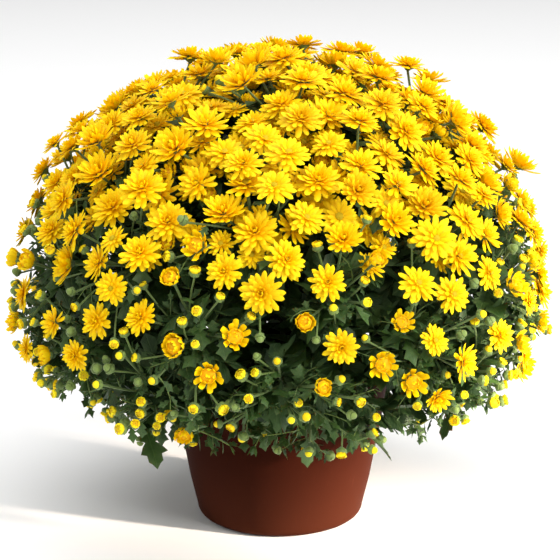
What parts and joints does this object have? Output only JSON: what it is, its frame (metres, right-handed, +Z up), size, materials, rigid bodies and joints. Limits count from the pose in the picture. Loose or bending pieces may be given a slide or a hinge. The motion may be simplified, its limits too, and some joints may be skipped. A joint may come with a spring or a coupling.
{
  "type": "pot chrysanthemum",
  "caption": "Mounded garden chrysanthemum with yellow daisy-like flower heads, buds and lobed green leaves, growing in a plain tapered terracotta-coloured plastic pot.",
  "frame": {"origin": "middle of the pot's underside, on the surface it stands on", "axes": "+Z up through the middle of the pot, -Y towards the front as pictured, +X to the right"},
  "size_m": [0.5384, 0.5484, 0.4838],
  "materials": {
    "pot": "satin",
    "soil": "matte",
    "foliage": "matte",
    "flowers": "matte"
  },
  "bodies": {
    "root": {"pot": "pot", "soil": "soil", "branch_01": "foliage", "branch_02": "foliage", "branch_03": "foliage", "branch_04": "foliage", "branch_05": "foliage", "branch_06": "foliage", "branch_07": "foliage", "branch_08": "foliage", "branch_09": "foliage", "branch_10": "foliage", "branch_11": "foliage", "branch_12": "foliage", "branch_13": "foliage", "branch_14": "foliage", "spray_01": "flowers", "spray_02": "flowers", "spray_03": "flowers", "spray_04": "flowers", "spray_05": "flowers", "spray_06": "flowers", "spray_07": "flowers", "spray_08": "flowers", "spray_09": "flowers", "spray_10": "flowers", "spray_11": "flowers", "spray_12": "flowers", "spray_13": "flowers", "spray_14": "flowers", "spray_15": "flowers", "spray_16": "flowers", "spray_17": "flowers", "spray_18": "flowers", "spray_19": "flowers", "spray_20": "flowers", "spray_21": "flowers", "spray_22": "flowers", "spray_23": "flowers", "spray_24": "flowers", "spray_25": "flowers", "spray_26": "flowers", "spray_27": "flowers", "spray_28": "flowers", "spray_29": "flowers", "spray_30": "flowers", "spray_31": "flowers", "spray_32": "flowers", "spray_33": "flowers", "spray_34": "flowers", "spray_35": "flowers", "spray_36": "flowers", "spray_37": "flowers", "spray_38": "flowers", "spray_39": "flowers", "spray_40": "flowers", "spray_41": "flowers", "spray_42": "flowers"}
  },
  "joints": []
}
